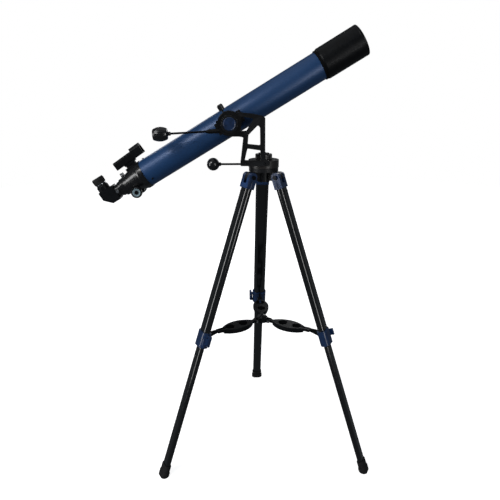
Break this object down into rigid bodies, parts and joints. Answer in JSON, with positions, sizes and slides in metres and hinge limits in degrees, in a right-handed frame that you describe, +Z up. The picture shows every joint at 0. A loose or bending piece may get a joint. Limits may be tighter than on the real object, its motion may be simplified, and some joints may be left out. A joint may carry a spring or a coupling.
{
  "type": "refracting telescope on a tripod",
  "caption": "Slender refracting telescope with dew shield, star diagonal and red-dot finder on a single-arm altazimuth mount and a folding tripod with eyepiece tray.",
  "frame": {"origin": "on the azimuth axis at floor level, in the middle of the three feet", "axes": "+Z up along the azimuth axis; +X the way the tube points; the mount arm and the slow-motion knobs are on the -Y side"},
  "size_m": [0.9346, 0.6424, 1.4591],
  "materials": {
    "black_casting": "satin black paint on an aluminium casting",
    "black_plastic": "fine-grained moulded plastic",
    "leg_black": "semi-gloss black coating on aluminium",
    "blue_plastic": "deep blue moulded plastic",
    "tube_blue": "satin dark blue paint on aluminium tube",
    "steel": "bright machined steel",
    "chrome": "polished chrome",
    "brass": "machined brass",
    "rubber": "matt black rubber",
    "glass": "clear coated glass",
    "mirror": "front-silvered mirror"
  },
  "bodies": {
    "tripod": {"tripod_head": "black_casting", "azimuth_wheel_spindle": "steel", "leg_pivot_bolts": "steel"},
    "left_leg": {"left_leg_yoke": "blue_plastic", "left_upper_leg": "leg_black", "left_leg_collar": "blue_plastic"},
    "left_leg_extension": {"left_lower_leg": "leg_black", "left_foot": "rubber"},
    "left_lever": {"left_leg_lever": "blue_plastic"},
    "left_tray": {"left_tray_arm": "black_plastic"},
    "right_leg": {"right_leg_yoke": "blue_plastic", "right_upper_leg": "leg_black", "right_leg_collar": "blue_plastic"},
    "right_leg_extension": {"right_lower_leg": "leg_black", "right_foot": "rubber"},
    "right_lever": {"right_leg_lever": "blue_plastic"},
    "right_tray": {"right_tray_arm": "black_plastic"},
    "rear_leg": {"rear_leg_yoke": "blue_plastic", "rear_upper_leg": "leg_black", "rear_leg_collar": "blue_plastic"},
    "rear_leg_extension": {"rear_lower_leg": "leg_black", "rear_foot": "rubber"},
    "rear_lever": {"rear_leg_lever": "blue_plastic"},
    "rear_tray": {"rear_tray_arm": "black_plastic"},
    "tray_center": {"tray_hub": "black_plastic", "tray_hinge_pins": "steel"},
    "azimuth_head": {"turntable": "black_casting", "mount_arm": "black_casting", "altitude_housing": "black_casting"},
    "azimuth_lock": {"azimuth_lock_knob": "black_plastic"},
    "azimuth_control": {"azimuth_worm_shaft": "steel", "azimuth_knob": "black_plastic"},
    "altitude_control": {"altitude_worm_shaft": "steel", "altitude_knob": "black_plastic"},
    "altitude_clutch": {"altitude_clutch_knob": "black_plastic", "clutch_knob_cap": "blue_plastic"},
    "optical_tube": {"altitude_axle": "steel", "altitude_worm_wheel": "brass", "dovetail_saddle": "black_casting", "dovetail_bar": "black_casting", "main_tube": "tube_blue", "tube_baffles": "black_plastic", "objective_cell": "black_plastic", "objective_lenses": "glass", "lens_retaining_ring": "black_plastic", "dew_shield": "black_plastic", "focuser_body": "black_plastic", "finder_bracket": "black_plastic", "finder_body": "black_plastic"},
    "saddle_clamp": {"saddle_clamp_knob": "black_plastic"},
    "focuser_drawtube": {"drawtube": "black_plastic", "drawtube_thumb_screws": "chrome"},
    "focus_pinion": {"pinion_shaft": "steel", "focus_knobs": "black_plastic"},
    "focus_lock": {"focus_lock_screw": "chrome"},
    "star_diagonal": {"diagonal_body": "black_plastic", "diagonal_mirror": "mirror"},
    "eyepiece": {"eyepiece_body": "black_plastic", "eyepiece_lenses": "glass"},
    "finder_dial": {"finder_switch": "black_plastic"}
  },
  "joints": [
    {"name": "left_leg_fold", "type": "hinge", "parent": "tripod", "child": "left_leg", "pos_m": [-0.04503, -0.026, 1.006], "axis": [0.5, -0.866, 0], "range_deg": [0, 16.5]},
    {"name": "right_leg_fold", "type": "hinge", "parent": "tripod", "child": "right_leg", "pos_m": [0.04503, -0.026, 1.006], "axis": [0.5, 0.866, 0], "range_deg": [0, 16.6]},
    {"name": "rear_leg_fold", "type": "hinge", "parent": "tripod", "child": "rear_leg", "pos_m": [0, 0.052, 1.006], "axis": [-1, 0, 0], "range_deg": [0, 16.6]},
    {"name": "left_leg_slide", "type": "slide", "parent": "left_leg", "child": "left_leg_extension", "axis": [0.286, 0.1651, 0.9439], "range_m": [0, 0.4]},
    {"name": "left_lever_flip", "type": "hinge", "parent": "left_leg", "child": "left_lever", "pos_m": [-0.1829, -0.1437, 0.48144], "axis": [0.286, 0.1651, 0.9439], "range_deg": [0, 100]},
    {"name": "right_leg_slide", "type": "slide", "parent": "right_leg", "child": "right_leg_extension", "axis": [-0.286, 0.1651, 0.9439], "range_m": [0, 0.4]},
    {"name": "right_lever_flip", "type": "hinge", "parent": "right_leg", "child": "right_lever", "pos_m": [0.2159, -0.08654, 0.48144], "axis": [-0.286, 0.1651, 0.9439], "range_deg": [0, 100]},
    {"name": "rear_leg_slide", "type": "slide", "parent": "rear_leg", "child": "rear_leg_extension", "axis": [0, -0.3303, 0.9439], "range_m": [0, 0.4]},
    {"name": "rear_lever_flip", "type": "hinge", "parent": "rear_leg", "child": "rear_lever", "pos_m": [-0.033, 0.23025, 0.48144], "axis": [0, -0.3303, 0.9439], "range_deg": [0, 100]},
    {"name": "tray_hub_slide", "type": "slide", "parent": "tripod", "child": "tray_center", "axis": [0, 0, 1], "range_m": [0, 0.13765]},
    {"name": "left_tray_hinge", "type": "hinge", "parent": "tray_center", "child": "left_tray", "pos_m": [-0.02425, -0.014, 0.49239], "axis": [0.5, -0.866, 0], "range_deg": [0, 90.25]},
    {"name": "right_tray_hinge", "type": "hinge", "parent": "tray_center", "child": "right_tray", "pos_m": [0.02425, -0.014, 0.49239], "axis": [0.5, 0.866, 0], "range_deg": [0, 90.25]},
    {"name": "rear_tray_hinge", "type": "hinge", "parent": "tray_center", "child": "rear_tray", "pos_m": [0, 0.028, 0.49239], "axis": [-1, 0, 0], "range_deg": [0, 90.25]},
    {"name": "azimuth_turn", "type": "hinge", "parent": "tripod", "child": "azimuth_head", "pos_m": [0, 0, 1.047], "axis": [0, 0, 1], "continuous": true},
    {"name": "azimuth_lock_turn", "type": "hinge", "parent": "azimuth_head", "child": "azimuth_lock", "pos_m": [0, 0, 1.068], "axis": [0, 0, 1], "range_deg": [0, 270]},
    {"name": "azimuth_worm_turn", "type": "hinge", "parent": "azimuth_head", "child": "azimuth_control", "pos_m": [0, -0.0273, 1.047], "axis": [1, 0, 0], "continuous": true},
    {"name": "altitude_turn", "type": "hinge", "parent": "azimuth_head", "child": "optical_tube", "pos_m": [-0.108, 0, 1.173], "axis": [0, -1, 0], "range_deg": [-40, 45]},
    {"name": "altitude_worm_turn", "type": "hinge", "parent": "azimuth_head", "child": "altitude_control", "pos_m": [-0.10691, -0.041, 1.15223], "axis": [0.9986, 0, 0.0523], "range_deg": [-1500, 1700]},
    {"name": "altitude_clutch_turn", "type": "hinge", "parent": "optical_tube", "child": "altitude_clutch", "pos_m": [-0.108, -0.065, 1.173], "axis": [0, -1, 0], "range_deg": [0, 180]},
    {"name": "saddle_clamp_turn", "type": "hinge", "parent": "optical_tube", "child": "saddle_clamp", "pos_m": [-0.13353, -0.011, 1.21599], "axis": [-0.5105, 0, 0.8599], "range_deg": [0, 360]},
    {"name": "focus_slide", "type": "slide", "parent": "optical_tube", "child": "focuser_drawtube", "axis": [-0.8599, 0, -0.5105], "range_m": [0, 0.09]},
    {"name": "focus_knob_turn", "type": "hinge", "parent": "optical_tube", "child": "focus_pinion", "pos_m": [-0.41321, 0.045, 0.95253], "axis": [0, -1, 0], "range_deg": [-900, 900]},
    {"name": "focus_lock_turn", "type": "hinge", "parent": "optical_tube", "child": "focus_lock", "pos_m": [-0.4672, 0.045, 1.00624], "axis": [-0.5105, 0, 0.8599], "range_deg": [0, 360]},
    {"name": "diagonal_turn", "type": "hinge", "parent": "focuser_drawtube", "child": "star_diagonal", "pos_m": [-0.47774, 0.045, 0.95347], "axis": [0.8599, 0, 0.5105], "continuous": true},
    {"name": "eyepiece_pull", "type": "slide", "parent": "star_diagonal", "child": "eyepiece", "axis": [-0.5105, 0, 0.8599], "range_m": [0, 0.06]},
    {"name": "finder_dial_turn", "type": "hinge", "parent": "optical_tube", "child": "finder_dial", "pos_m": [-0.4692, 0.061, 1.03739], "axis": [0, 1, 0], "range_deg": [0, 270]}
  ],
  "couplings": [
    {"joint": "right_leg_fold", "follows": "left_leg_fold", "ratio": 1},
    {"joint": "rear_leg_fold", "follows": "left_leg_fold", "ratio": 1},
    {"joint": "tray_hub_slide", "follows": "left_leg_fold", "m_per_rad": 0.47452},
    {"joint": "left_tray_hinge", "follows": "left_leg_fold", "ratio": 5.4394},
    {"joint": "right_tray_hinge", "follows": "left_leg_fold", "ratio": 5.4394},
    {"joint": "rear_tray_hinge", "follows": "left_leg_fold", "ratio": 5.4394},
    {"joint": "azimuth_worm_turn", "follows": "azimuth_turn", "ratio": 48},
    {"joint": "altitude_worm_turn", "follows": "altitude_turn", "ratio": 36},
    {"joint": "focus_knob_turn", "follows": "focus_slide", "rad_per_m": 169.49}
  ]
}
